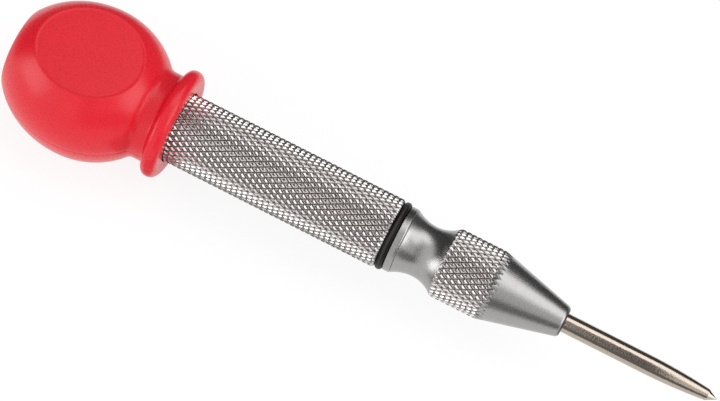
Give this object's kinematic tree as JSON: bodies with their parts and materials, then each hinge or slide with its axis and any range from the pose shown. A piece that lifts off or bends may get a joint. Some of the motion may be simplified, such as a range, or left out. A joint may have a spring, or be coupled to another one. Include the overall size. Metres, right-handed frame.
{
  "type": "automatic center punch",
  "caption": "Spring-loaded center punch: knurled barrel, waisted nose with a long tapered point, and a ball-shaped palm cap with two side flats and a flat end that sets the blow.",
  "frame": {"origin": "under the middle of the tool's length, on the plane of the cap's lower flat", "axes": "+X along the tool towards the point, +Z square to the cap's two flats"},
  "size_m": [0.1472, 0.03, 0.0233],
  "materials": {
    "red_cap": "satin moulded",
    "turned_steel": "turned and knurled, satin",
    "hardened_steel": "ground",
    "spring_wire": "drawn",
    "brass": "turned",
    "nickel_point": "nickel plated, fine ground",
    "black_rubber": "smooth"
  },
  "bodies": {
    "barrel": {"barrel": "turned_steel", "nose_piece": "turned_steel", "o_ring": "black_rubber", "guide_bush": "brass", "return_spring": "spring_wire"},
    "point": {"punch_point": "nickel_point", "drive_pin": "hardened_steel"},
    "hammer": {"hammer": "hardened_steel", "sear_spring": "spring_wire"},
    "sear": {"sear_block": "brass"},
    "follower": {"spring_seat": "hardened_steel", "main_spring": "spring_wire"},
    "cap": {"adjusting_cap": "turned_steel", "palm_cap": "red_cap"}
  },
  "joints": [
    {"name": "point_press", "type": "slide", "parent": "barrel", "child": "point", "axis": [-1, 0, 0], "range_m": [0, 0.008], "stiffness_N_per_m": 300, "deforming": ["return_spring", "main_spring"]},
    {"name": "hammer_cock", "type": "slide", "parent": "barrel", "child": "hammer", "axis": [-1, 0, 0], "range_m": [0, 0.008], "deforming": ["main_spring"]},
    {"name": "sear_shift", "type": "slide", "parent": "hammer", "child": "sear", "axis": [0, 0, -1], "range_m": [0, 0.00055], "stiffness_N_per_m": 200, "deforming": ["sear_spring"]},
    {"name": "cap_advance", "type": "slide", "parent": "barrel", "child": "follower", "axis": [1, 0, 0], "range_m": [-0.002, 0.002], "deforming": ["main_spring"]},
    {"name": "cap_turn", "type": "hinge", "parent": "follower", "child": "cap", "pos_m": [-0.0585, 0, 0.01165], "axis": [1, 0, 0], "range_deg": [-720, 720]}
  ],
  "couplings": [
    {"joint": "hammer_cock", "follows": "point_press", "ratio": 1},
    {"joint": "cap_turn", "follows": "cap_advance", "rad_per_m": 6283.2}
  ]
}
